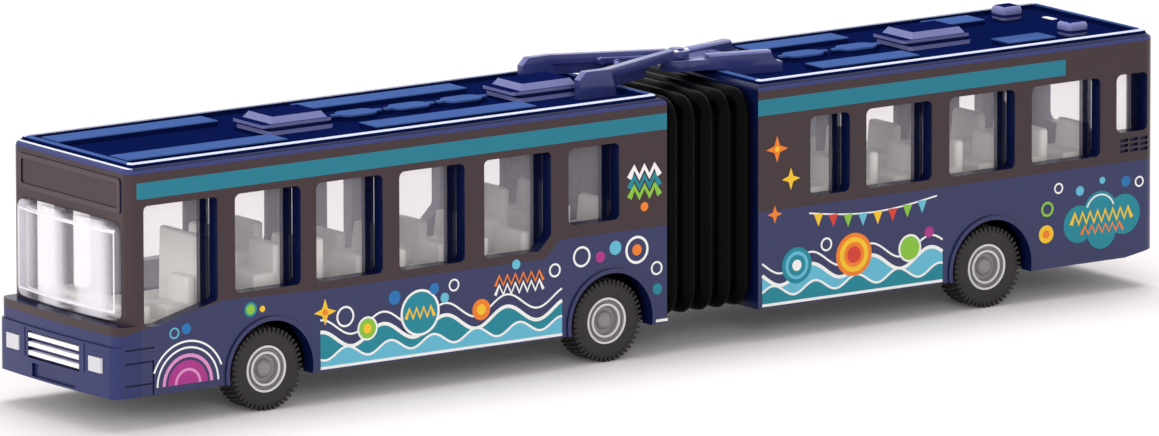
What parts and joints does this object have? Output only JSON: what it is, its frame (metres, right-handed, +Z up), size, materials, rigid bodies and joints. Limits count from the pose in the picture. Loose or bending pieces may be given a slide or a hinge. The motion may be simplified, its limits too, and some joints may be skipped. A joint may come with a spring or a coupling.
{
  "type": "toy articulated bus",
  "caption": "Small die-cast toy articulated bus: two hollow sections hinged inside a pleated bellows, with seats, clear glazing and free-rolling wheels.",
  "frame": {"origin": "on the ground under the middle of the whole box", "axes": "+X to the front bumper, +Y to the driver's side, +Z up"},
  "size_m": [0.18, 0.0296, 0.0403],
  "materials": {
    "body_paint": "gloss navy paint",
    "roof_navy": "gloss navy plastic",
    "roof_violet": "gloss blue plastic",
    "clear_plastic": "clear plastic",
    "ivory_plastic": "moulded ivory plastic",
    "black_plastic": "moulded black plastic",
    "silver": "bright silver",
    "red_lens": "red paint",
    "bellows_black": "soft black plastic",
    "steel": "drawn steel rod",
    "grey_plastic": "light grey plastic",
    "tyre": "dark rubber"
  },
  "bodies": {
    "front_section": {"front_body": "body_paint", "front_roof": "roof_navy", "front_roof_hatch_1": "roof_violet", "front_roof_hatch_2": "roof_violet", "front_glazing": "clear_plastic", "front_interior": "ivory_plastic", "front_base": "black_plastic", "headlamp_left": "silver", "headlamp_right": "silver", "grille_bars": "silver", "front_roof_arms": "roof_violet", "bellows": "bellows_black"},
    "rear_section": {"rear_body": "body_paint", "rear_roof": "roof_navy", "rear_roof_hatch": "roof_violet", "rear_glazing": "clear_plastic", "rear_interior": "ivory_plastic", "rear_base": "black_plastic", "tail_lamp_left": "red_lens", "tail_lamp_right": "red_lens", "rear_roof_arms": "roof_violet"},
    "front_wheels": {"front_axle": "steel", "front_left_rim": "grey_plastic", "front_left_tyre": "tyre", "front_right_rim": "grey_plastic", "front_right_tyre": "tyre"},
    "middle_wheels": {"middle_axle": "steel", "middle_left_rim": "grey_plastic", "middle_left_tyre": "tyre", "middle_right_rim": "grey_plastic", "middle_right_tyre": "tyre"},
    "rear_wheels": {"rear_axle": "steel", "rear_left_rim": "grey_plastic", "rear_left_tyre": "tyre", "rear_right_rim": "grey_plastic", "rear_right_tyre": "tyre"}
  },
  "joints": [
    {"name": "articulation", "type": "hinge", "parent": "front_section", "child": "rear_section", "pos_m": [-0.016, 0, 0.009], "axis": [0, 0, 1], "range_deg": [-30, 30], "deforming": ["bellows"]},
    {"name": "front_axle_spin", "type": "hinge", "parent": "front_section", "child": "front_wheels", "pos_m": [0.0636, 0, 0.00583], "axis": [0, 1, 0], "continuous": true},
    {"name": "middle_axle_spin", "type": "hinge", "parent": "front_section", "child": "middle_wheels", "pos_m": [0.0058, 0, 0.00583], "axis": [0, 1, 0], "continuous": true},
    {"name": "rear_axle_spin", "type": "hinge", "parent": "rear_section", "child": "rear_wheels", "pos_m": [-0.0606, 0, 0.00583], "axis": [0, 1, 0], "continuous": true}
  ]
}
